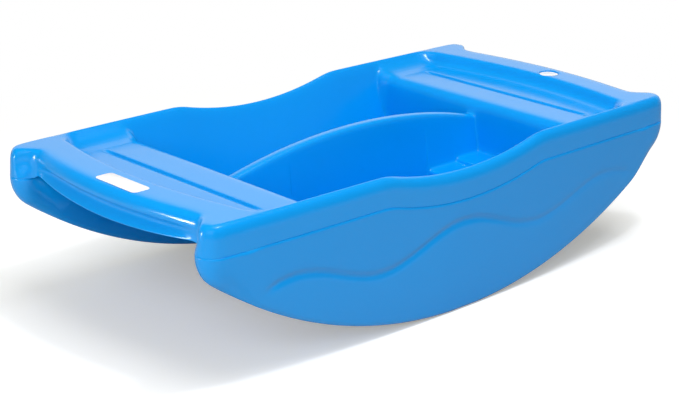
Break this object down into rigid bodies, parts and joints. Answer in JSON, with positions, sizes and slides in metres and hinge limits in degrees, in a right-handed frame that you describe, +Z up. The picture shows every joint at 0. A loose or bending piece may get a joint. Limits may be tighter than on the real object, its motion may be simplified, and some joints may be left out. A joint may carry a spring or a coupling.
{
  "type": "seesaw rocker",
  "caption": "Hollow moulded ride-on rocker with curved side hulls, facing seat pans, footwells with foot steps, a leg divider and end rims as grips.",
  "frame": {"origin": "on the floor under the middle, at the bottom centre of the bounding box", "axes": "+X along the length towards the end with the vent plug, +Y across from the near hull to the far hull, +Z up"},
  "size_m": [1.2066, 0.6096, 0.2984],
  "materials": {
    "deck_blue_plastic": "satin gloss moulded polyethylene",
    "near_hull_blue_plastic": "satin gloss moulded polyethylene",
    "far_hull_blue_plastic": "satin gloss moulded polyethylene",
    "plug_white_plastic": "smooth",
    "label_white_vinyl": "smooth, blank"
  },
  "bodies": {
    "root": {"deck_moulding": "deck_blue_plastic", "near_rocker_hull": "near_hull_blue_plastic", "far_rocker_hull": "far_hull_blue_plastic", "vent_plug": "plug_white_plastic", "label_plate": "label_white_vinyl"}
  },
  "joints": []
}
